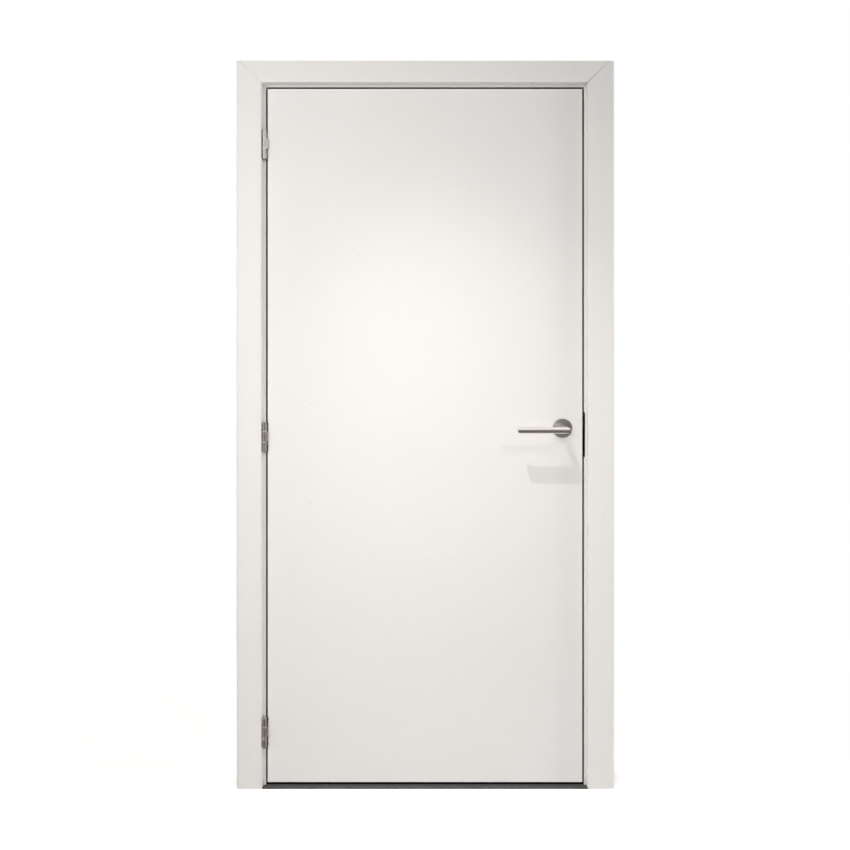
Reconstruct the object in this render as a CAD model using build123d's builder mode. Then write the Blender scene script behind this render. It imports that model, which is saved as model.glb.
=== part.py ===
"""Hollow core door: a flush leaf hung on three butt hinges in a lined and cased frame.

X runs from the hinge side to the latch side, -Y is the side the leaf opens to, +Z is up.
The origin lies at floor level on the wall side of the hinge jamb, midway through the wall.
"""

import os

from build123d import *

os.makedirs("parts", exist_ok=True)

# Driving dimensions of the leaf
leaf_w = 926.0
leaf_h = 2040.0
leaf_t = 40.0
leaf_ease = 1.0
skin_t = 3.0
stile_w = 38.0
rail_h = 42.0
lock_block_w = 105.0
lock_block_h = 320.0
core_cell_r = 150.0
core_wall = 3.0
core_rim = 6.0
core_clear = 0.5

# Gaps round the leaf
side_gap = 5.0
top_gap = 5.0
floor_gap = 7.0
stop_gap = 5.0

# Driving dimensions of the lining and its stops
jamb_t = 30.0
jamb_depth = 130.0
head_t = 30.0
housing = 8.0
stop_t = 14.0
stop_w = 36.0
stop_ease = 1.5

# Driving dimensions of the casings
hinge_casing_w = 73.0
latch_casing_w = 77.5
casing_t = 18.0
hinge_setback = 9.5
latch_setback = 7.0
head_setback = 6.5
casing_edge_r = 8.0
casing_ease = 1.0
head_trim = 11.0
mitre_fit = 0.3
open_mitre_fit = 1.7

# Driving dimensions of the hinges
wing_h = 84.0
wing_w = 30.0
wing_t = 2.5
wing_corner_r = 6.0
wing_bend_r = 1.5
knuckle_r = 6.25
knuckle_to_casing = 0.5
knuckle_to_face = 0.3
upper_knuckle_h = 23.0
door_knuckle_h = 29.0
washer_h = 2.0
washer_r = 6.0
washer_fit = 0.1
pin_r = 3.5
pin_fit = 0.05
pin_head_r = 6.0
pin_head_h = 1.5
pin_tip_r = 4.5
pin_tip_h = 2.0
mortise_fit = 0.2
top_hinge_drop = 166.0
middle_hinge_drop = 1025.0
bottom_hinge_rise = 150.0

# Driving dimensions of the lever furniture
handle_height = 1042.5
backset = 60.0
rose_r = 29.0
rose_t = 9.0
rose_ease = 1.5
lever_r = 9.5
lever_reach = 58.0
lever_length = 139.0
lever_ease = 1.0
neck_fit = 0.3
neck_to_leaf = 0.5
spindle_w = 8.0
spindle_fit = 0.1
spindle_depth = 34.0
spindle_hole_r = 7.0

# Driving dimensions of the latch and strike
plate_w = 20.0
plate_t = 3.0
plate_above = 45.5
plate_below = 85.5
plate_corner_r = 4.0
case_w = 85.0
case_t = 15.0
case_above = 40.0
case_below = 70.0
case_fit = 0.5
case_hub_r = 7.5
bolt_w = 12.0
bolt_h = 20.0
bolt_l = 30.0
bolt_bevel = 9.0
bolt_fit = 0.4
bolt_proud = 1.0
bolt_rise = 14.0
strike_t = 1.5
strike_recess = 3.0
strike_w = 32.0
strike_hole_w = 17.0
strike_hole_h = 30.0
strike_pocket = 16.0

# Places across the frame
hinge_face_x = jamb_t
leaf_left = hinge_face_x + side_gap
leaf_right = leaf_left + leaf_w
latch_face_x = leaf_right + side_gap
opening_w = latch_face_x - hinge_face_x

# Places through the wall
front_y = -jamb_depth / 2
leaf_back_y = front_y + leaf_t
leaf_mid_y = front_y + leaf_t / 2
stop_front_y = leaf_back_y + stop_gap
core_t = leaf_t - 2 * skin_t

# Heights
leaf_bottom = floor_gap
leaf_top = leaf_bottom + leaf_h
head_z = leaf_top + top_gap
frame_top = head_z + head_t

# Casing outline
casing_left_x = hinge_face_x - hinge_setback
casing_right_x = latch_face_x + latch_setback
casing_inner_z = head_z + head_setback
head_casing_h = hinge_casing_w - head_trim
casing_top = casing_inner_z + head_casing_h

# Hinge line and the height of each hinge's middle
hinge_x = casing_left_x + knuckle_to_casing + knuckle_r
hinge_y = front_y - knuckle_to_face - knuckle_r
hinges = {
    "top": leaf_top - top_hinge_drop,
    "middle": leaf_top - middle_hinge_drop,
    "bottom": leaf_bottom + bottom_hinge_rise,
}

# Lever, latch and strike places
handle_x = leaf_right - backset
handle_z = leaf_bottom + handle_height
latch_z = handle_z + bolt_rise
plate_z = handle_z + (plate_above - plate_below) / 2
plate_h = plate_above + plate_below


def block(x, y, z, size, mode=Mode.ADD):
    """A rectangular block placed by its lowest corner."""
    with Locations((x, y, z)):
        Box(*size, align=(Align.MIN, Align.MIN, Align.MIN), mode=mode)


def wing_panel(x, middle_z, fit, mode=Mode.ADD):
    """The flat of a hinge wing or, with a fit all round, the mortise it lies in."""
    with BuildSketch(Plane.YZ.offset(x)) as panel:
        with Locations((front_y, middle_z)):
            Rectangle(wing_w + fit, wing_h + 2 * fit, align=(Align.MIN, Align.CENTER))
        fillet(panel.vertices().group_by(Axis.X)[-1], wing_corner_r + fit)
    extrude(panel.sketch, amount=wing_t, mode=mode)


# Hinge jamb, with a mortise for each hinge and a housing for the head
with BuildPart() as hinge_jamb:
    block(0, front_y, 0, (jamb_t, jamb_depth, frame_top))
    block(jamb_t - housing, front_y, head_z, (housing, jamb_depth, head_t), Mode.SUBTRACT)
    for height in hinges.values():
        wing_panel(hinge_face_x - wing_t, height, mortise_fit, Mode.SUBTRACT)
hinge_jamb.part.label = "hinge_jamb"
export_step(hinge_jamb.part, "parts/hinge_jamb.step")


def strike_hole(depth):
    """The hole in the latch jamb or its strike that the bolt enters."""
    block(
        latch_face_x,
        leaf_mid_y - strike_hole_w / 2,
        latch_z - strike_hole_h / 2,
        (depth, strike_hole_w, strike_hole_h),
        Mode.SUBTRACT,
    )


# Latch jamb, with a recess and a pocket for the strike
with BuildPart() as latch_jamb:
    block(latch_face_x, front_y, 0, (jamb_t, jamb_depth, frame_top))
    block(latch_face_x, front_y, head_z, (housing, jamb_depth, head_t), Mode.SUBTRACT)
    block(
        latch_face_x,
        front_y,
        plate_z - plate_h / 2 - mortise_fit,
        (strike_recess, strike_w + mortise_fit, plate_h + 2 * mortise_fit),
        Mode.SUBTRACT,
    )
    strike_hole(strike_recess + strike_pocket)
latch_jamb.part.label = "latch_jamb"
export_step(latch_jamb.part, "parts/latch_jamb.step")

# Strike plate on the floor of its recess
with BuildPart() as strike_plate:
    block(
        latch_face_x + strike_recess - strike_t,
        front_y,
        plate_z - plate_h / 2,
        (strike_t, strike_w, plate_h),
    )
    fillet(strike_plate.edges().filter_by(Axis.X).group_by(Axis.Y)[-1], plate_corner_r)
    strike_hole(strike_recess)
strike_plate.part.label = "strike_plate"
export_step(strike_plate.part, "parts/strike_plate.step")

# Head jamb, housed at both ends
with BuildPart() as head_jamb:
    block(
        hinge_face_x - housing,
        front_y,
        head_z,
        (opening_w + 2 * housing, jamb_depth, head_t),
    )
head_jamb.part.label = "head_jamb"
export_step(head_jamb.part, "parts/head_jamb.step")


def side_stop(name, x, facing):
    """A stop planted up one jamb; facing is 1 where it faces +X."""
    with BuildPart() as stop:
        block(x, stop_front_y, 0, (stop_t, stop_w, head_z))
        open_face = stop.faces().sort_by(Axis.X)[-1 if facing > 0 else 0]
        chamfer(open_face.edges().filter_by(Axis.Z), stop_ease)
    stop.part.label = name
    export_step(stop.part, f"parts/{name}.step")


side_stop("hinge_side_stop", hinge_face_x, 1)
side_stop("latch_side_stop", latch_face_x - stop_t, -1)

# Head stop between the side stops
with BuildPart() as head_stop:
    block(
        hinge_face_x + stop_t,
        stop_front_y,
        head_z - stop_t,
        (opening_w - 2 * stop_t, stop_w, stop_t),
    )
    underside = head_stop.faces().sort_by(Axis.Z)[0]
    chamfer(underside.edges().filter_by(Axis.X), stop_ease)
head_stop.part.label = "head_stop"
export_step(head_stop.part, "parts/head_stop.step")


def open_arris(piece, along, across, at_end, side):
    """The arris on the open face of a casing that lies first or last across it."""
    level = piece.edges().filter_by(along).group_by(across)[-1 if at_end else 0]
    return level.sort_by(Axis.Y)[-1 if side > 0 else 0]


def casing_leg(name, inner_x, outward, width, side):
    """A casing leg cut to the mitre, with its outer arris rounded; side is -1 in front."""
    with BuildPart() as leg:
        with BuildSketch(Plane.XZ.offset(-side * jamb_depth / 2)):
            with BuildLine():
                Polyline(
                    (inner_x, 0),
                    (inner_x, casing_inner_z),
                    (inner_x + outward * head_casing_h, casing_top),
                    (inner_x + outward * width, casing_top),
                    (inner_x + outward * width, 0),
                    close=True,
                )
            make_face()
        extrude(amount=-side * casing_t)
        fillet(open_arris(leg, Axis.Z, Axis.X, outward > 0, side), casing_edge_r)
        chamfer(open_arris(leg, Axis.Z, Axis.X, outward < 0, side), casing_ease)
    leg.part.label = name
    export_step(leg.part, f"parts/{name}.step")


def casing_head(name, side, latch_fit):
    """The head casing between the mitres; the latch fit is how far that one stands open."""
    with BuildPart() as head:
        with BuildSketch(Plane.XZ.offset(-side * jamb_depth / 2)):
            with BuildLine():
                Polyline(
                    (casing_left_x + mitre_fit, casing_inner_z),
                    (casing_right_x - latch_fit, casing_inner_z),
                    (casing_right_x + head_casing_h - mitre_fit, casing_top),
                    (casing_left_x - head_casing_h + mitre_fit, casing_top),
                    close=True,
                )
            make_face()
        extrude(amount=-side * casing_t)
        chamfer(open_arris(head, Axis.X, Axis.Z, False, side), casing_ease)
    head.part.label = name
    export_step(head.part, f"parts/{name}.step")


for face_name, side, latch_fit in (("front", -1, open_mitre_fit), ("back", 1, mitre_fit)):
    casing_leg(f"{face_name}_casing_left", casing_left_x, -1, hinge_casing_w, side)
    casing_leg(f"{face_name}_casing_right", casing_right_x, 1, latch_casing_w, side)
    casing_head(f"{face_name}_casing_head", side, latch_fit)


# Hinges: three knuckles on a headed pin, with a washer each side of the leaf's knuckle
lower_knuckle_h = wing_h - upper_knuckle_h - door_knuckle_h - 2 * washer_h


def rod(foot, height, radius, mode=Mode.ADD):
    """A round rod on the hinge line, or the bore for it."""
    with Locations((hinge_x, hinge_y, foot)):
        Cylinder(radius, height, align=(Align.CENTER, Align.CENTER, Align.MIN), mode=mode)


def frame_half(name, middle_z):
    """The hinge half on the jamb, with the lower and upper knuckles."""
    foot = middle_z - wing_h / 2
    knuckles = (
        (foot, lower_knuckle_h),
        (foot + wing_h - upper_knuckle_h, upper_knuckle_h),
    )
    with BuildPart() as half:
        wing_panel(hinge_face_x - wing_t, middle_z, 0)
        for low, height in knuckles:
            block(hinge_face_x - wing_t, hinge_y, low, (wing_t, front_y - hinge_y, height))
            rod(low, height, knuckle_r)
        rod(foot, wing_h, pin_r + pin_fit, Mode.SUBTRACT)
    half.part.label = name
    export_step(half.part, f"parts/{name}.step")


def leaf_half(name, middle_z):
    """The hinge half on the leaf, cranked across the gap to the middle knuckle."""
    foot = middle_z - wing_h / 2
    low = foot + lower_knuckle_h + washer_h
    crank_y = hinge_y - wing_t / 2
    with BuildPart() as half:
        wing_panel(leaf_left, middle_z, 0)
        with BuildSketch(Plane.XY.offset(low)) as crank:
            with BuildLine():
                Polyline(
                    (hinge_x, crank_y),
                    (leaf_left + wing_t, crank_y),
                    (leaf_left + wing_t, front_y),
                    (leaf_left, front_y),
                    (leaf_left, crank_y + wing_t),
                    (hinge_x, crank_y + wing_t),
                    close=True,
                )
            make_face()
            outer = crank.vertices().group_by(Axis.X)[-1].sort_by(Axis.Y)[0]
            fillet(outer, wing_bend_r)
        extrude(amount=door_knuckle_h)
        rod(low, door_knuckle_h, knuckle_r)
        rod(foot, wing_h, pin_r + pin_fit, Mode.SUBTRACT)
    half.part.label = name
    export_step(half.part, f"parts/{name}.step")


def hinge_pin(name, middle_z):
    """The pin, with a head over the upper knuckle and a tip under the lower one."""
    foot = middle_z - wing_h / 2
    with BuildPart() as pin:
        rod(foot, wing_h, pin_r)
        rod(foot + wing_h, pin_head_h, pin_head_r)
        rod(foot - pin_tip_h, pin_tip_h, pin_tip_r)
    pin.part.label = name
    export_step(pin.part, f"parts/{name}.step")


for hinge_name, height in hinges.items():
    frame_half(f"{hinge_name}_hinge_frame_half", height)
    leaf_half(f"{hinge_name}_hinge_leaf_half", height)
    hinge_pin(f"{hinge_name}_hinge_pin", height)

# Washers below and above the leaf's knuckle in each hinge
with BuildPart() as hinge_washers:
    for height in hinges.values():
        low = height - wing_h / 2 + lower_knuckle_h
        for z in (low, low + washer_h + door_knuckle_h):
            with BuildSketch(Plane.XY.offset(z + washer_fit)):
                with Locations((hinge_x, hinge_y)):
                    Circle(washer_r)
                    Circle(pin_r + pin_fit, mode=Mode.SUBTRACT)
            extrude(amount=washer_h - 2 * washer_fit)
hinge_washers.part.label = "hinge_washers"
export_step(hinge_washers.part, "parts/hinge_washers.step")


def spindle_hole():
    """The round hole through the leaf for the spindle."""
    with BuildSketch(Plane.XZ.offset(-front_y)) as outline:
        with Locations((handle_x, handle_z)):
            Circle(spindle_hole_r)
    extrude(outline.sketch, amount=-leaf_t, mode=Mode.SUBTRACT)


def skin(name, y, outward, hinged):
    """One face of the leaf; the front one is notched for the cranked wings."""
    with BuildPart() as sheet:
        block(leaf_left, y, leaf_bottom, (leaf_w, skin_t, leaf_h))
        shown = sheet.faces().filter_by(Axis.Y).sort_by(Axis.Y)[-1 if outward > 0 else 0]
        chamfer(shown.edges(), leaf_ease)
        if hinged:
            for height in hinges.values():
                wing_panel(leaf_left, height, mortise_fit, Mode.SUBTRACT)
        spindle_hole()
    sheet.part.label = name
    export_step(sheet.part, f"parts/{name}.step")


skin("front_skin", front_y, -1, True)
skin("back_skin", leaf_back_y - skin_t, 1, False)

# Stiles and rails between the skins
with BuildPart() as hinge_stile:
    block(leaf_left, front_y + skin_t, leaf_bottom, (stile_w, core_t, leaf_h))
    for height in hinges.values():
        wing_panel(leaf_left, height, mortise_fit, Mode.SUBTRACT)
hinge_stile.part.label = "hinge_stile"
export_step(hinge_stile.part, "parts/hinge_stile.step")


def case_pocket():
    """The pocket in the latch stile and lock block for the latch case."""
    block(
        leaf_right - plate_t - case_w - case_fit,
        leaf_mid_y - case_t / 2 - case_fit,
        handle_z - case_below - case_fit,
        (
            case_w + plate_t + case_fit,
            case_t + 2 * case_fit,
            case_above + case_below + 2 * case_fit,
        ),
        Mode.SUBTRACT,
    )


def face_plate(fit, mode=Mode.ADD):
    """The latch's face plate in the leaf's edge or, with a fit, its mortise."""
    with BuildSketch(Plane.YZ.offset(leaf_right - plate_t)) as outline:
        with Locations((leaf_mid_y, plate_z)):
            Rectangle(plate_w + 2 * fit, plate_h + 2 * fit)
        fillet(outline.vertices(), plate_corner_r + fit)
    extrude(outline.sketch, amount=plate_t, mode=mode)


with BuildPart() as latch_stile:
    block(leaf_right - stile_w, front_y + skin_t, leaf_bottom, (stile_w, core_t, leaf_h))
    case_pocket()
    face_plate(mortise_fit, Mode.SUBTRACT)
latch_stile.part.label = "latch_stile"
export_step(latch_stile.part, "parts/latch_stile.step")


def rail(name, z):
    """A rail between the stiles."""
    with BuildPart() as bar:
        block(leaf_left + stile_w, front_y + skin_t, z, (leaf_w - 2 * stile_w, core_t, rail_h))
    bar.part.label = name
    export_step(bar.part, f"parts/{name}.step")


rail("top_rail", leaf_top - rail_h)
rail("bottom_rail", leaf_bottom)

# Lock block that carries the furniture
lock_block_x = leaf_right - stile_w - lock_block_w
lock_block_z = handle_z - lock_block_h / 2
with BuildPart() as lock_block:
    block(lock_block_x, front_y + skin_t, lock_block_z, (lock_block_w, core_t, lock_block_h))
    case_pocket()
    spindle_hole()
lock_block.part.label = "lock_block"
export_step(lock_block.part, "parts/lock_block.step")

# Honeycomb core, with whole cells only and cut round the lock block
core_left = leaf_left + stile_w + core_clear
core_right = leaf_right - stile_w - core_clear
core_low = leaf_bottom + rail_h + core_clear
core_high = leaf_top - rail_h - core_clear
core_mid_x = (core_left + core_right) / 2
core_mid_z = (core_low + core_high) / 2
cell_pitch_x = core_cell_r * 1.5
cell_pitch_z = core_cell_r * 3**0.5
cells_x = int((core_right - core_left - 2 * core_rim - core_cell_r / 2) / cell_pitch_x)
cells_z = int((core_high - core_low - 2 * core_rim) / cell_pitch_z - 0.5)
cell_margin = core_cell_r + core_rim


def beside_lock_block(place):
    """True where a cell stands clear of the lock block."""
    x = core_mid_x + place.position.X
    z = core_mid_z + place.position.Y
    beyond = x < lock_block_x - cell_margin
    return beyond or abs(z - handle_z) > lock_block_h / 2 + cell_margin


with BuildPart() as honeycomb_core:
    with BuildSketch(Plane.XZ.offset(-front_y - skin_t)):
        with Locations((core_mid_x, core_mid_z)):
            Rectangle(core_right - core_left, core_high - core_low)
        with Locations((lock_block_x - core_clear, handle_z)):
            Rectangle(
                lock_block_w + 2 * core_clear,
                lock_block_h + 2 * core_clear,
                align=(Align.MIN, Align.CENTER),
                mode=Mode.SUBTRACT,
            )
        cells = HexLocations(core_cell_r, cells_x, cells_z, major_radius=True)
        kept = [place for place in cells.local_locations if beside_lock_block(place)]
        with Locations((core_mid_x, core_mid_z)):
            with Locations(*kept):
                RegularPolygon(core_cell_r - core_wall / 3**0.5, 6, mode=Mode.SUBTRACT)
    extrude(amount=-core_t)
honeycomb_core.part.label = "honeycomb_core"
export_step(honeycomb_core.part, "parts/honeycomb_core.step")


def bolt_channel(depth):
    """The channel that the bolt slides in."""
    block(
        leaf_right - depth,
        leaf_mid_y - bolt_w / 2 - bolt_fit,
        latch_z - bolt_h / 2 - bolt_fit,
        (depth, bolt_w + 2 * bolt_fit, bolt_h + 2 * bolt_fit),
        Mode.SUBTRACT,
    )


# Latch: face plate, case and drawn-back bolt
with BuildPart() as latch_face_plate:
    face_plate(0)
    bolt_channel(plate_t)
latch_face_plate.part.label = "latch_face_plate"
export_step(latch_face_plate.part, "parts/latch_face_plate.step")

with BuildPart() as latch_case:
    block(
        leaf_right - plate_t - case_w,
        leaf_mid_y - case_t / 2,
        handle_z - case_below,
        (case_w, case_t, case_above + case_below),
    )
    bolt_channel(plate_t + bolt_l)
    with BuildSketch(Plane.XZ.offset(-front_y)):
        with Locations((handle_x, handle_z)):
            Circle(case_hub_r)
    extrude(amount=-leaf_t, mode=Mode.SUBTRACT)
latch_case.part.label = "latch_case"
export_step(latch_case.part, "parts/latch_case.step")

with BuildPart() as latch_bolt:
    with BuildSketch(Plane.XY.offset(latch_z - bolt_h / 2)):
        with BuildLine():
            Polyline(
                (leaf_right - plate_t - bolt_l, leaf_mid_y - bolt_w / 2),
                (leaf_right + bolt_proud, leaf_mid_y - bolt_w / 2),
                (leaf_right + bolt_proud - bolt_bevel, leaf_mid_y + bolt_w / 2),
                (leaf_right - plate_t - bolt_l, leaf_mid_y + bolt_w / 2),
                close=True,
            )
        make_face()
    extrude(amount=bolt_h)
latch_bolt.part.label = "latch_bolt"
export_step(latch_bolt.part, "parts/latch_bolt.step")


def rose(name, face_y, outward):
    """A round rose on one face of the leaf; outward is -1 in front."""
    with BuildPart() as disc:
        with BuildSketch(Plane((handle_x, face_y, handle_z), z_dir=(0, outward, 0))):
            Circle(rose_r)
            Circle(lever_r + neck_fit, mode=Mode.SUBTRACT)
        extrude(amount=rose_t)
        shown = disc.faces().filter_by(Axis.Y).sort_by(Axis.Y)[-1 if outward > 0 else 0]
        rim = shown.edges().sort_by(SortBy.LENGTH)[-1]
        chamfer(rim, rose_ease)
    disc.part.label = name
    export_step(disc.part, f"parts/{name}.step")


def lever(name, face_y, outward):
    """An L-shaped round lever with a mitred elbow and a square socket for the spindle."""
    start = (handle_x, face_y + outward * neck_to_leaf, handle_z)
    grip_y = face_y + outward * lever_reach
    neck_plane = Plane(start, z_dir=(0, outward, 0))
    with BuildPart() as arm:
        with BuildLine():
            Polyline(start, (handle_x, grip_y, handle_z), (handle_x - lever_length, grip_y, handle_z))
        with BuildSketch(neck_plane):
            Circle(lever_r)
        sweep(transition=Transition.RIGHT)
        chamfer(arm.edges().filter_by(GeomType.CIRCLE).sort_by(Axis.X)[0], lever_ease)
        with BuildSketch(neck_plane):
            Rectangle(spindle_w + 2 * spindle_fit, spindle_w + 2 * spindle_fit)
        extrude(amount=spindle_depth, mode=Mode.SUBTRACT)
    arm.part.label = name
    export_step(arm.part, f"parts/{name}.step")


for face_name, face_y, outward in (("front", front_y, -1), ("back", leaf_back_y, 1)):
    rose(f"{face_name}_rose", face_y, outward)
    lever(f"{face_name}_lever", face_y, outward)

# Square spindle between the two levers
spindle_end = neck_to_leaf + spindle_depth - spindle_fit
with BuildPart() as spindle:
    block(
        handle_x - spindle_w / 2,
        front_y - spindle_end,
        handle_z - spindle_w / 2,
        (spindle_w, leaf_t + 2 * spindle_end, spindle_w),
    )
spindle.part.label = "spindle"
export_step(spindle.part, "parts/spindle.step")
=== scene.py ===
"""Looks of the hollow core door: paints, steels, small fixings, studio and camera."""

import math

import bpy
from mathutils import Matrix, Vector


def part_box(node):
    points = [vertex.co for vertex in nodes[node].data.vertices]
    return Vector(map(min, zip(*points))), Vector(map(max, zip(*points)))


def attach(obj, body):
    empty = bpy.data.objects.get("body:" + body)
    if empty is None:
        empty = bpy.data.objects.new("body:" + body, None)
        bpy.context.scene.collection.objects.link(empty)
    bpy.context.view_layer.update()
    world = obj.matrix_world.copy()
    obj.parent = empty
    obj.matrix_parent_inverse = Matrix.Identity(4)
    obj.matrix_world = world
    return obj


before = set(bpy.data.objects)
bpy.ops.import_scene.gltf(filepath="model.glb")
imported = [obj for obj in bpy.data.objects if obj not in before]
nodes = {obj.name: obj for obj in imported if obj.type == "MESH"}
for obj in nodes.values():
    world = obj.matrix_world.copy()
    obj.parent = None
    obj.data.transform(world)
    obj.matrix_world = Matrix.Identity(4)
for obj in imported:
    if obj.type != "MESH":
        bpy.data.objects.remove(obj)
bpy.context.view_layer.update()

scene = bpy.context.scene

# Where the photograph was taken from: rows in its own pixels, distances in metres, sensor in mm
image_px = 850
leaf_px_per_m = 339.95
horizon_row = 358.0
leaf_top_row = 88.8
camera_distance = 1.75
sensor = 36.0
nearest = 0.05

# Places that the fixings, the studio and the camera share
leaf_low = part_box("front_skin")[0]
leaf_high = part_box("back_skin")[1]
leaf_mid_x = (leaf_low.x + leaf_high.x) / 2
leaf_front_y = leaf_low.y


# Node graphs
openness_samples = 8
dot_core = 0.4
mix_first, mix_second, mix_result = 6, 7, 2

# The stretch of a noise's values that is drawn out to a whole blend
wide = (0.3, 0.7)
close = (0.35, 0.65)
patchy = (0.35, 0.7)
sparse = (0.60, 0.78)


class Graph:
    """One material's node tree, with short ways to add and join its nodes."""

    def __init__(self, name):
        self.material = bpy.data.materials.new(name)
        self.material.use_nodes = True
        self.tree = self.material.node_tree
        self.tree.nodes.clear()
        self.output = self.tree.nodes.new("ShaderNodeOutputMaterial")
        self.coordinates = self.tree.nodes.new("ShaderNodeTexCoord").outputs["Object"]

    def join(self, source, socket):
        """Links a socket, or sets a plain value."""
        if isinstance(source, bpy.types.NodeSocket):
            self.tree.links.new(source, socket)
        else:
            socket.default_value = source

    def math(self, operation, first, second=0.0):
        node = self.tree.nodes.new("ShaderNodeMath")
        node.operation = operation
        self.join(first, node.inputs[0])
        self.join(second, node.inputs[1])
        return node.outputs[0]

    def stretched(self, scale):
        node = self.tree.nodes.new("ShaderNodeMapping")
        node.inputs["Scale"].default_value = scale
        self.join(self.coordinates, node.inputs["Vector"])
        return node.outputs[0]

    def noise(self, scale, detail, roughness=0.5, vector=None):
        node = self.tree.nodes.new("ShaderNodeTexNoise")
        node.inputs["Scale"].default_value = scale
        node.inputs["Detail"].default_value = detail
        node.inputs["Roughness"].default_value = roughness
        self.join(vector or self.coordinates, node.inputs["Vector"])
        return node.outputs["Fac"]

    def remap(self, value, low, high, to_low=0.0, to_high=1.0):
        node = self.tree.nodes.new("ShaderNodeMapRange")
        ends = {"From Min": low, "From Max": high, "To Min": to_low, "To Max": to_high}
        for socket, number in ends.items():
            node.inputs[socket].default_value = number
        self.join(value, node.inputs["Value"])
        return node.outputs[0]

    def mix(self, factor, first, second):
        node = self.tree.nodes.new("ShaderNodeMix")
        node.data_type = "RGBA"
        self.join(factor, node.inputs["Factor"])
        self.join(first, node.inputs[mix_first])
        self.join(second, node.inputs[mix_second])
        return node.outputs[mix_result]

    def axes(self):
        node = self.tree.nodes.new("ShaderNodeSeparateXYZ")
        self.join(self.coordinates, node.inputs[0])
        return node.outputs

    def flat(self, first, second):
        node = self.tree.nodes.new("ShaderNodeCombineXYZ")
        self.join(first, node.inputs[0])
        self.join(second, node.inputs[1])
        return node.outputs[0]

    def dots(self, vector, scale, radius, share):
        """1 in small round dots scattered over a flat, in a share of the cells; 0 elsewhere."""
        node = self.tree.nodes.new("ShaderNodeTexVoronoi")
        node.voronoi_dimensions = "2D"
        node.inputs["Scale"].default_value = scale
        self.join(vector, node.inputs["Vector"])
        edge = radius * scale
        near = self.remap(node.outputs["Distance"], edge, edge * dot_core)
        pick = self.tree.nodes.new("ShaderNodeSeparateColor")
        self.join(node.outputs["Color"], pick.inputs[0])
        chosen = self.math("LESS_THAN", pick.outputs[0], share)
        return self.math("MULTIPLY", self.math("MULTIPLY", near, chosen), pick.outputs[1])

    def bump(self, height, strength, distance, under=None):
        node = self.tree.nodes.new("ShaderNodeBump")
        node.inputs["Strength"].default_value = strength
        node.inputs["Distance"].default_value = distance
        self.join(height, node.inputs["Height"])
        if under:
            self.join(under, node.inputs["Normal"])
        return node.outputs[0]

    def openness(self, reach, low, high):
        """1 on open faces, falling to 0 deep in a gap narrower than the reach."""
        node = self.tree.nodes.new("ShaderNodeAmbientOcclusion")
        node.samples = openness_samples
        node.inputs["Distance"].default_value = reach
        return self.remap(node.outputs["AO"], low, high)

    def finish(
        self, colour, roughness, normal, metallic=0.0, specular=0.5, stretch=0.0, tangent=None
    ):
        """Ends the graph in one shader; stretch draws its gloss out along the tangent."""
        shader = self.tree.nodes.new("ShaderNodeBsdfPrincipled")
        shader.inputs["Metallic"].default_value = metallic
        shader.inputs["Anisotropic"].default_value = stretch
        if tangent:
            self.join(tangent, shader.inputs["Tangent"])
        shader.inputs["Specular IOR Level"].default_value = specular
        self.join(colour, shader.inputs["Base Color"])
        self.join(roughness, shader.inputs["Roughness"])
        self.join(normal, shader.inputs["Normal"])
        self.join(shader.outputs["BSDF"], self.output.inputs["Surface"])
        return self.material


def grey(level, warmth=0.0):
    """A pale or dark neutral, a little warm where warmth is above 0."""
    return (level * (1 + warmth), level, level * (1 - warmth), 1.0)


# Paints: scales are in repeats a metre, depths and reaches in metres
drift_scale = 1.7
drift_dark, drift_light, drift_cool = 0.985, 1.01, 0.7
mottle_scale = 38.0
mottle_dark = 0.93
mottle_share = 0.10
speck_scale = 7.0
speck_radius = 0.0022
speck_share = 0.5
speck_colour = grey(0.18, 0.10)
scuff_scales = (150.0, 1.0, 3.2)
scuff_share = 0.12
scuff_colour = grey(0.42, 0.06)
scuffs_from_z, scuffs_full_z = 0.75, 0.15
scuffs_from_x, scuffs_full_x = 0.45, 0.12
# Painted shade: paint turns dark grey deep in narrow gaps, found by ambient occlusion
gap_shade_colour = grey(0.10, 0.12)
gap_shade_full, gap_shade_none = 0.10, 0.42
peel_scale = 260.0
peel_depth = 0.0004
peel_share = 0.6
roller_scale = 1100.0
roller_depth = 0.00012
sheen_scale = 24.0
paint_roughness = (0.40, 0.50)
paint_specular = 0.15


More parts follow.
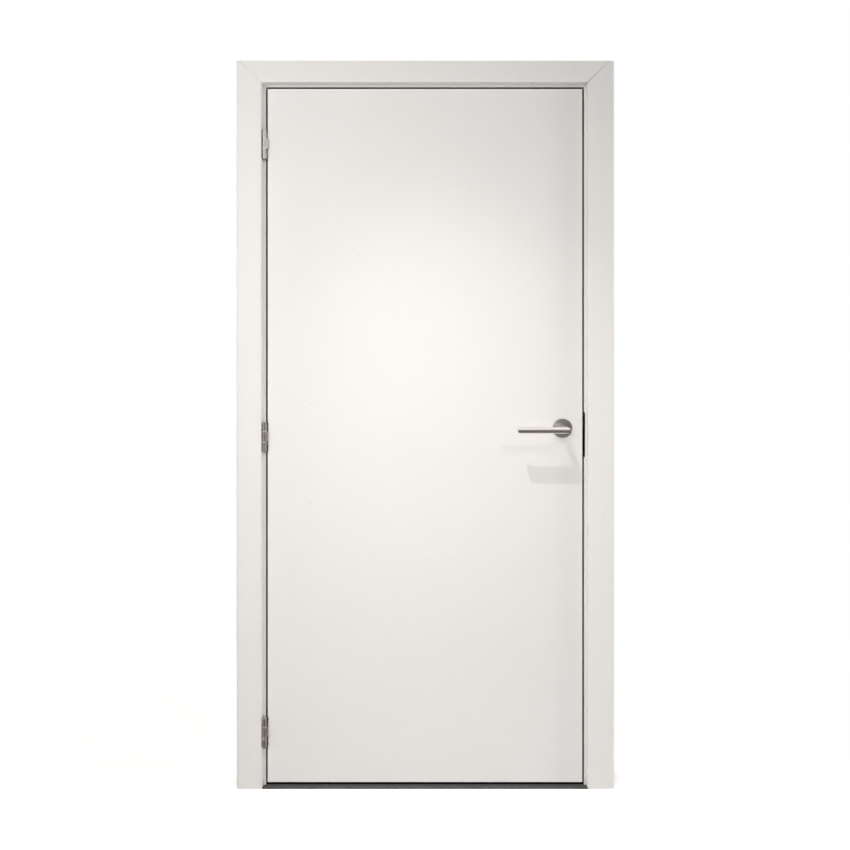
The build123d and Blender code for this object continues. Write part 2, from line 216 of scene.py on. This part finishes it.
def satin_paint(name, level, warmth, specks, stipple, crevice, scuffed=False):
    """Rolled satin paint: broad drifts in tone, stipple, a few specks, and scuffs low down.

    Specks is the share of places that have one, stipple the strength of the roller's texture,
    and crevice the width of the gaps that get painted shade inside.
    """
    graph = Graph(name)
    x, _, z = graph.axes()
    dark = grey(level * drift_dark, warmth)
    light = grey(level * drift_light, warmth * drift_cool)
    colour = graph.mix(graph.remap(graph.noise(drift_scale, detail=3.0), *wide), dark, light)
    mottle = graph.remap(graph.noise(mottle_scale, detail=3.0, roughness=0.6), *close)
    mottle = graph.math("MULTIPLY", mottle, mottle_share)
    mottled = graph.mix(mottle, colour, grey(level * mottle_dark, warmth))
    mark = graph.dots(graph.flat(x, z), speck_scale, speck_radius, specks)
    marked = graph.mix(graph.math("MULTIPLY", mark, speck_share), mottled, speck_colour)
    if scuffed:
        streaks = graph.noise(1.0, detail=3.0, roughness=0.6, vector=graph.stretched(scuff_scales))
        lines = graph.remap(streaks, *sparse)
        low_down = graph.remap(z, scuffs_from_z, scuffs_full_z)
        to_left = graph.remap(x, scuffs_from_x, scuffs_full_x)
        worn = graph.math("MULTIPLY", graph.math("MULTIPLY", lines, low_down), to_left)
        marked = graph.mix(graph.math("MULTIPLY", worn, scuff_share), marked, scuff_colour)
    # Painted shade darkens the paint deep inside gaps narrower than crevice
    gap_shaded = graph.mix(graph.openness(crevice, gap_shade_full, gap_shade_none), gap_shade_colour, marked)
    peel = graph.noise(peel_scale, detail=1.0, roughness=0.4)
    waves = graph.bump(peel, stipple * peel_share, peel_depth)
    roller = graph.noise(roller_scale, detail=2.0, roughness=0.55)
    normal = graph.bump(roller, stipple, roller_depth, under=waves)
    gloss = graph.remap(graph.noise(sheen_scale, detail=2.0), *wide, *paint_roughness)
    return graph.finish(gap_shaded, gloss, normal, specular=paint_specular)


leaf_paint = satin_paint(
    "leaf_paint", level=0.875, warmth=0.016, specks=0.16, stipple=0.30, crevice=0.03, scuffed=True
)
casing_paint = satin_paint(
    "casing_paint", level=0.885, warmth=0.020, specks=0.22, stipple=0.22, crevice=0.004
)
lining_paint = satin_paint(
    "lining_paint", level=0.81, warmth=0.022, specks=0.12, stipple=0.25, crevice=0.03
)
edge_paint = satin_paint(
    "leaf_edge_paint", level=0.86, warmth=0.020, specks=0.12, stipple=0.25, crevice=0.03
)


# Metals: across the brushing the scales are high, along it they are low
steel_dark, turned_dark, steel_light = 0.93, 0.92, 1.05
scratch_scale = 1400.0
scratch_run_scale = 26.0
scratch_depth = 0.00006
scratch_strength = 0.25
band_scale = 420.0
band_run_scale = 9.0
smudge_scale = 55.0
ring_scale = 1500.0
ring_run_scale = 1.4
ring_depth = 0.00008
ring_strength = 0.35
ring_smudge_scale = 60.0
ring_stretch = 0.7


def brushed_steel(name, level, warmth, along, rough, metallic=1.0):
    """Steel brushed along one axis, with short scratches and slight smudges."""
    graph = Graph(name)
    run = "xyz".index(along)
    fine = [scratch_scale] * 3
    fine[run] = scratch_run_scale
    coarse = [band_scale] * 3
    coarse[run] = band_run_scale
    scratches = graph.noise(1.0, detail=3.0, roughness=0.65, vector=graph.stretched(fine))
    bands = graph.noise(1.0, detail=2.0, vector=graph.stretched(coarse))
    dark, light = grey(level * steel_dark, warmth), grey(level * steel_light, warmth)
    colour = graph.mix(graph.remap(bands, *wide), dark, light)
    smudge = graph.remap(graph.noise(smudge_scale, detail=2.0), *patchy, *rough)
    normal = graph.bump(scratches, scratch_strength, scratch_depth)
    return graph.finish(colour, smudge, normal, metallic=metallic)


def turned_steel(name, level, warmth, centre, rough):
    """Steel brushed in rings about a centre on the leaf."""
    graph = Graph(name)
    x, _, z = graph.axes()
    across = graph.math("SUBTRACT", x, centre.x)
    up = graph.math("SUBTRACT", z, centre.z)
    across_squared = graph.math("MULTIPLY", across, across)
    up_squared = graph.math("MULTIPLY", up, up)
    radius = graph.math("SQRT", graph.math("ADD", across_squared, up_squared))
    turn = graph.math("ARCTAN2", up, across)
    ring = graph.flat(
        graph.math("MULTIPLY", radius, ring_scale), graph.math("MULTIPLY", turn, ring_run_scale)
    )
    grooves = graph.noise(1.0, detail=3.0, roughness=0.6, vector=ring)
    dark, light = grey(level * turned_dark, warmth), grey(level * steel_light, warmth)
    colour = graph.mix(graph.remap(grooves, *wide), dark, light)
    smudge = graph.remap(graph.noise(ring_smudge_scale, detail=2.0), *patchy, *rough)
    normal = graph.bump(grooves, ring_strength, ring_depth)
    outward = graph.tree.nodes.new("ShaderNodeCombineXYZ")
    graph.join(across, outward.inputs[0])
    graph.join(up, outward.inputs[2])
    return graph.finish(
        colour, smudge, normal, metallic=1.0, stretch=ring_stretch, tangent=outward.outputs[0]
    )


handle_low, handle_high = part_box("front_rose")
handle_centre = (handle_low + handle_high) / 2
lever_steel = brushed_steel(
    "lever_steel", level=0.86, warmth=0.030, along="x", rough=(0.18, 0.27)
)
rose_steel = turned_steel(
    "rose_steel", level=0.70, warmth=0.035, centre=handle_centre, rough=(0.24, 0.32)
)
hinge_steel = brushed_steel(
    "hinge_steel", level=0.72, warmth=0.045, along="z", rough=(0.24, 0.36)
)
pin_steel = brushed_steel(
    "pin_steel", level=0.60, warmth=0.05, along="z", rough=(0.30, 0.42)
)
washer_steel = brushed_steel(
    "washer_steel", level=0.92, warmth=0.02, along="x", rough=(0.45, 0.55), metallic=0.15
)
latch_steel = brushed_steel(
    "latch_steel", level=0.58, warmth=0.02, along="z", rough=(0.26, 0.38)
)
strike_steel = brushed_steel(
    "strike_steel", level=0.10, warmth=0.03, along="z", rough=(0.35, 0.50)
)
screw_steel = brushed_steel(
    "screw_steel", level=0.50, warmth=0.02, along="x", rough=(0.30, 0.42)
)


# Timber and board inside the leaf
late_wood, early_wood = (0.62, 0.44, 0.25, 1), (0.78, 0.62, 0.42, 1)
growth_scales = (90.0, 60.0, 3.0)
pore_scales = (1600.0, 1600.0, 60.0)
pore_depth = 0.0003
pore_strength = 0.4
timber_roughness = (0.62, 0.8)
dark_board, pale_board = (0.42, 0.30, 0.18, 1), (0.60, 0.47, 0.31, 1)
fibre_scale = 700.0
fibre_depth = 0.0002
fibre_strength = 0.3
board_roughness = 0.85


def sawn_timber(name):
    """Pale sawn softwood with upright growth bands and pores."""
    graph = Graph(name)
    bands = graph.noise(1.0, detail=4.0, roughness=0.6, vector=graph.stretched(growth_scales))
    colour = graph.mix(graph.remap(bands, *close), late_wood, early_wood)
    pores = graph.noise(1.0, detail=2.0, roughness=0.7, vector=graph.stretched(pore_scales))
    normal = graph.bump(pores, pore_strength, pore_depth)
    return graph.finish(colour, graph.remap(bands, *wide, *timber_roughness), normal)


def paper_board(name):
    """Brown paper board with fibres."""
    graph = Graph(name)
    fibres = graph.noise(fibre_scale, detail=3.0, roughness=0.7)
    colour = graph.mix(graph.remap(fibres, *wide), dark_board, pale_board)
    normal = graph.bump(fibres, fibre_strength, fibre_depth)
    return graph.finish(colour, board_roughness, normal)


block_wood = sawn_timber("lock_block_wood")
core_board = paper_board("core_board")

# Which finish each node has, by the ends of their names
finishes = (
    ("_casing_left", casing_paint),
    ("_casing_right", casing_paint),
    ("_casing_head", casing_paint),
    ("_jamb", lining_paint),
    ("_stop", lining_paint),
    ("_skin", leaf_paint),
    ("_stile", edge_paint),
    ("_rail", edge_paint),
    ("_frame_half", hinge_steel),
    ("_leaf_half", hinge_steel),
    ("_hinge_pin", pin_steel),
    ("hinge_washers", washer_steel),
    ("_rose", rose_steel),
    ("_lever", lever_steel),
    ("spindle", latch_steel),
    ("latch_face_plate", latch_steel),
    ("latch_case", latch_steel),
    ("latch_bolt", latch_steel),
    ("strike_plate", strike_steel),
    ("lock_block", block_wood),
    ("honeycomb_core", core_board),
)
for node_name, node in nodes.items():
    for ending, finish in finishes:
        if node_name.endswith(ending):
            for slot in node.material_slots:
                slot.material = finish


# Screws with a cross recess, whose arms are shares of the head's radius
screw_steps = 32
screw_proud = 0.0005
hinge_screw_r = 0.0040
plate_screw_r = 0.0036
recess_reach, recess_half = 0.58, 0.13


def screw_outlines(radius):
    """The round edge of a screw head and the cross cut in it."""
    around = [2 * math.pi * step / screw_steps for step in range(screw_steps)]
    edge = [(radius * math.cos(a), radius * math.sin(a)) for a in around]
    arm, half = radius * recess_reach, radius * recess_half
    quarter = [(arm, -half), (arm, half), (half, half)]
    cross = []
    for turn in range(4):
        c, s = (1, 0, -1, 0)[turn], (0, 1, 0, -1)[turn]
        cross += [(c * x - s * y, s * x + c * y) for x, y in quarter]
    return edge, cross


def screws(name, body, places, outward, radius):
    """Screw heads standing proud of the plate they hold, all facing outward, as one piece."""
    shape = bpy.data.curves.new(name, "CURVE")
    shape.dimensions = "2D"
    shape.fill_mode = "BOTH"
    shape.extrude = screw_proud / 4
    shape.bevel_depth = screw_proud / 4
    shape.bevel_resolution = 2
    turn = outward.to_track_quat("Z", "Y").to_matrix().to_4x4()
    flat = [turn.inverted() @ place for place in places]
    for middle in flat:
        for outline in screw_outlines(radius - screw_proud / 4):
            spline = shape.splines.new("POLY")
            spline.points.add(len(outline) - 1)
            for point, (x, y) in zip(spline.points, outline):
                point.co = (middle.x + x, middle.y + y, 0.0, 1.0)
            spline.use_cyclic_u = True
    shape.materials.append(screw_steel)
    drawn = bpy.data.objects.new(name + "_outline", shape)
    mesh = bpy.data.meshes.new_from_object(drawn)
    bpy.data.objects.remove(drawn)
    bpy.data.curves.remove(shape)
    mesh.name = name
    mesh.transform(turn @ Matrix.Translation((0, 0, flat[0].z + screw_proud / 2)))
    piece = bpy.data.objects.new(name, mesh)
    scene.collection.objects.link(piece)
    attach(piece, body)


# Screws in a wing, from the hinge's middle upwards and from the leaf's face inwards
wing_screw_rows = (-0.032, 0.0, 0.032)
wing_screw_depths = (0.021, 0.010, 0.021)
jamb_face_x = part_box("hinge_jamb")[1].x
for hinge in ("top", "middle", "bottom"):
    low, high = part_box(f"{hinge}_hinge_frame_half")
    middle_z = (low.z + high.z) / 2
    halves = (("frame", "frame", 1, jamb_face_x), ("leaf", "door", -1, leaf_low.x))
    for half, body, side, face_x in halves:
        places = [
            Vector((face_x, leaf_front_y + depth, middle_z + row))
            for row, depth in zip(wing_screw_rows, wing_screw_depths)
        ]
        outward = Vector((side, 0, 0))
        name = f"{hinge}_hinge_{half}_screws"
        screws(name, body, places, outward, hinge_screw_r)

plate_low, plate_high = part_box("latch_face_plate")
plate_mid_y = (plate_low.y + plate_high.y) / 2
screw_inset = 0.010
ends = (plate_low.z + screw_inset, plate_high.z - screw_inset)
places = [Vector((plate_high.x, plate_mid_y, z)) for z in ends]
screws("latch_face_screws", "door", places, Vector((1, 0, 0)), plate_screw_r)

strike_face_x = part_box("strike_plate")[0].x
places = [Vector((strike_face_x, plate_mid_y, z)) for z in ends]
screws("strike_screws", "frame", places, Vector((-1, 0, 0)), plate_screw_r)


# Studio
def stage_mesh(name, corners, faces, material):
    """A mesh that is part of the studio, not of the door."""
    mesh = bpy.data.meshes.new(name)
    mesh.from_pydata(corners, [], faces)
    mesh.materials.append(material)
    piece = bpy.data.objects.new(name, mesh)
    scene.collection.objects.link(piece)
    return piece


def either(tree, first, second):
    """The larger of two values."""
    node = tree.nodes.new("ShaderNodeMath")
    node.operation = "MAXIMUM"
    tree.links.new(first, node.inputs[0])
    tree.links.new(second, node.inputs[1])
    return node.outputs[0]


def seen_directly_and_mirrored(tree):
    """1 for the camera's rays, and 1 for rays in gloss or through glass."""
    path = tree.nodes.new("ShaderNodeLightPath")
    mirrored = either(tree, path.outputs["Is Glossy Ray"], path.outputs["Is Transmission Ray"])
    return path.outputs["Is Camera Ray"], mirrored


# The floor: light bounces off a pale grey, and gloss shows a paler one. The camera sees it fade
# to white away from the door. While the leaf covers the doorway, painted shade darkens the floor
# there, and a painted black shadow starts just behind the leaf's face.
doorway_half = (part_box("front_casing_right")[0].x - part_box("front_casing_left")[1].x) / 2
casing_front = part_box("front_casing_left")[0].y
floor_size = 24.0
floor_pale = 0.70
floor_mirrored = 1.3
floor_near = 1.4
painted_floor_shade = 0.10
painted_floor_black = 0.003
fade_from, fade_to = 0.10, 0.9
deep_from, deep_full = 0.001, 0.003
cover_reach = 0.2
covered, uncovered = 0.62, 0.85
graph = Graph("floor")
shader = graph.tree.nodes.new("ShaderNodeBsdfDiffuse")
direct, mirrored = seen_directly_and_mirrored(graph.tree)
shade = graph.mix(mirrored, grey(floor_pale), grey(floor_mirrored))
x, y, _ = graph.axes()
off_centre = graph.math("ABSOLUTE", graph.math("SUBTRACT", x, leaf_mid_x))
aside = graph.math("SUBTRACT", off_centre, doorway_half)
distance = graph.math("MAXIMUM", graph.math("ABSOLUTE", y), aside)
away = graph.remap(distance, fade_from, fade_to)
doorway = graph.math("LESS_THAN", aside, 0.0)
past_casing = graph.math("GREATER_THAN", y, casing_front)
under_leaf = graph.math("LESS_THAN", y, leaf_high.y)
closed = graph.remap(graph.openness(cover_reach, 0.0, 1.0), uncovered, covered)
inside = graph.math("MULTIPLY", graph.math("MULTIPLY", doorway, past_casing), under_leaf)
painted_shade_area = graph.math("MULTIPLY", inside, closed)
# Painted shadow: dark grey in the closed doorway, black from just behind the leaf's face
beneath = graph.remap(y, leaf_front_y + deep_from, leaf_front_y + deep_full)
dark = graph.mix(beneath, grey(painted_floor_shade), grey(painted_floor_black))
near = graph.mix(painted_shade_area, grey(floor_near), dark)
graph.join(graph.mix(direct, shade, near), shader.inputs["Color"])
white = graph.tree.nodes.new("ShaderNodeEmission")
blend = graph.tree.nodes.new("ShaderNodeMixShader")
graph.join(graph.math("MULTIPLY", direct, away), blend.inputs[0])
graph.join(shader.outputs[0], blend.inputs[1])
graph.join(white.outputs[0], blend.inputs[2])
graph.join(blend.outputs[0], graph.output.inputs["Surface"])
half = floor_size / 2
plan = [(-half, -half), (half, -half), (half, half), (-half, half)]
stage_mesh("floor", [(leaf_mid_x + x, y, 0) for x, y in plan], [(0, 1, 2, 3)], graph.material)

# The world: white to the camera and in gloss, and a low even light on everything
ambient = 0.20
world = bpy.data.worlds.new("studio")
scene.world = world
world.use_nodes = True
tree = world.node_tree
tree.nodes.clear()
world_output = tree.nodes.new("ShaderNodeOutputWorld")
sky = tree.nodes.new("ShaderNodeBackground")
strength = tree.nodes.new("ShaderNodeMapRange")
strength.inputs["To Min"].default_value = ambient
strength.inputs["To Max"].default_value = 1.0
direct, mirrored = seen_directly_and_mirrored(tree)
tree.links.new(either(tree, mirrored, direct), strength.inputs["Value"])
tree.links.new(strength.outputs[0], sky.inputs["Strength"])
sky.inputs["Color"].default_value = (1.0, 1.0, 1.0, 1.0)
tree.links.new(sky.outputs[0], world_output.inputs["Surface"])


# Soft lamps pass the levers and roses, as light bounced round a room does
unshaded = bpy.data.collections.new("lever_and_rose")
for node_name in ("front_lever", "back_lever", "front_rose", "back_rose"):
    unshaded.objects.link(nodes[node_name])
for item in unshaded.collection_objects:
    item.light_linking.link_state = "EXCLUDE"

warm_white = (1.0, 0.972, 0.945)


def lamp(name, place, aim, power, size, cone=None, hard=False):
    """An area lamp or, with a cone in degrees, a spot. Only a hard one casts a lever's shadow."""
    data = bpy.data.lights.new(name, "SPOT" if cone else "AREA")
    data.energy = power
    data.color = warm_white
    if cone:
        data.spot_size = math.radians(cone)
        data.spot_blend = 1.0
        data.shadow_soft_size = size
    else:
        data.shape = "SQUARE"
        data.size = size
    piece = bpy.data.objects.new(name, data)
    piece.location = place
    piece.rotation_mode = "QUATERNION"
    piece.rotation_quaternion = (Vector(aim) - Vector(place)).to_track_quat("-Z", "Y")
    piece.visible_camera = False
    piece.visible_glossy = False
    scene.collection.objects.link(piece)
    if not hard:
        piece.light_linking.blocker_collection = unshaded


lamp("main_key", (0.2, -2.4, 3.0), (0.4, leaf_front_y, 0.3), power=55.0, size=0.5, cone=90.0)
lamp("left_fill", (-1.5, -2.6, 2.2), (0.45, leaf_front_y, 1.1), power=45.0, size=1.5)
lamp("middle_fill", (0.1, -2.6, 1.6), (0.3, leaf_front_y, 1.3), power=50.0, size=0.6, cone=50.0)
lamp("back_key", (0.2, 2.4, 2.5), (0.5, 0.08, 1.0), power=42.0, size=1.8)
lamp("right_side_fill", (3.4, 0.35, 1.7), (1.0, 0.0, 1.1), power=14.0, size=0.6)
lamp("right_fill", (8.0, -1.4, 1.3), (0.0, leaf_front_y, 1.1), power=148.0, size=1.0)

ceiling = 3.45


def ceiling_lamp(name, slant, rise, power, size, lean, cone):
    """A ceiling spot, slant to the right of the handle and rise above it for each unit out.

    The lever's shadow shifts as far the other way. The spot aims at the floor, at lean times
    its own distance in front of the leaf.
    """
    out = (ceiling - handle_centre.z) / rise
    place = Vector((handle_centre.x + slant * out, leaf_front_y - out, ceiling))
    aim = Vector((handle_centre.x, leaf_front_y - out * lean, 0.0))
    lamp(name, place, aim, power, size, cone, hard=True)


ceiling_lamp("ceiling_near", slant=-0.84, rise=2.26, power=130.0, size=0.004, lean=0.25, cone=40.0)
ceiling_lamp("ceiling_right", slant=0.55, rise=1.05, power=56.0, size=0.08, lean=0.30, cone=70.0)
ceiling_lamp("ceiling_far", slant=2.0, rise=2.26, power=17.5, size=0.02, lean=0.45, cone=60.0)

# A dim room that only reflections see: dark floor, grey walls, a bright band high on the left
room_floor = grey(0.13, 0.15)
low_right, low_left = grey(0.22, 0.04), grey(0.42, 0.04)
high_right, high_left = grey(0.45, 0.02), grey(0.95, 0.02)
right_to_left_x = (1.6, -0.8)
floor_to_wall_z = (0.05, 0.6)
low_to_high_z = (1.75, 2.15)
room_left, room_right, room_front, room_back = -2.2, 3.2, -4.0, 4.0
room_bottom, room_top = 0.004, 3.6
graph = Graph("dim_room")
x, _, z = graph.axes()
to_left = graph.remap(x, *right_to_left_x)
grey_wall = graph.mix(to_left, low_right, low_left)
low_wall = graph.mix(graph.remap(z, *floor_to_wall_z), room_floor, grey_wall)
high_wall = graph.mix(to_left, high_right, high_left)
shade = graph.mix(graph.remap(z, *low_to_high_z), low_wall, high_wall)
glow = graph.tree.nodes.new("ShaderNodeEmission")
graph.join(shade, glow.inputs["Color"])
graph.join(glow.outputs[0], graph.output.inputs["Surface"])
front = [(room_left, room_front), (room_right, room_front)]
back = [(room_right, room_back), (room_left, room_back)]
corners = [(x, y, z) for z in (room_bottom, room_top) for x, y in front + back]
faces = [(0, 1, 2, 3)]
for corner in range(4):
    after = (corner + 1) % 4
    faces.append((corner, after, after + 4, corner + 4))
room = stage_mesh("dim_room", corners, faces, graph.material)
room.visible_camera = False
room.visible_diffuse = False
room.visible_transmission = False
room.visible_shadow = False

# Camera at the photograph's place
camera_data = bpy.data.cameras.new("camera")
camera_data.sensor_width = sensor
camera_data.lens = leaf_px_per_m * camera_distance / image_px * sensor
camera_data.shift_y = (horizon_row - image_px / 2) / image_px
camera_data.clip_start = nearest
camera = bpy.data.objects.new("camera", camera_data)
camera_height = leaf_high.z - (horizon_row - leaf_top_row) / leaf_px_per_m
camera.location = (leaf_mid_x, leaf_front_y - camera_distance, camera_height)
camera.rotation_euler = (math.pi / 2, 0, 0)
scene.collection.objects.link(camera)
scene.camera = camera

scene.view_settings.view_transform = "Standard"
